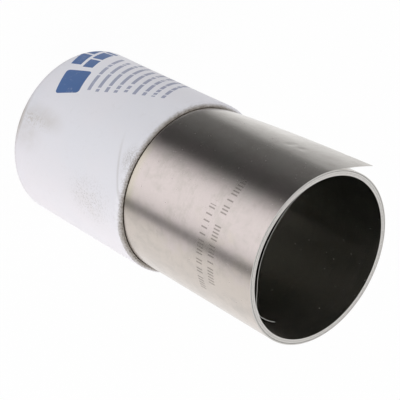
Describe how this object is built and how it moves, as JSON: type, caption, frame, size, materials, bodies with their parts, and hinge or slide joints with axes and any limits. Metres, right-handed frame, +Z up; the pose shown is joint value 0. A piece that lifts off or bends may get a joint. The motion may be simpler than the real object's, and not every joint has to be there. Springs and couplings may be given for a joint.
{
  "type": "shim stock roll",
  "caption": "Thin steel shim strip wound into a hollow roll with a sprung outer end, half inside a white card sleeve.",
  "frame": {"origin": "on the floor at the middle of the roll's sleeve end, on its axis", "axes": "+Z up along the roll's axis towards its bare steel end, -Y to the front and +X to the right; the loose outer end springs off at the front left"},
  "size_m": [0.077, 0.077, 0.15],
  "materials": {
    "shim_steel": "bright rolled, satin",
    "sleeve_card": "smooth white paper over grey board"
  },
  "bodies": {
    "root": {"shim_coil": "shim_steel", "sleeve": "sleeve_card"}
  },
  "joints": []
}
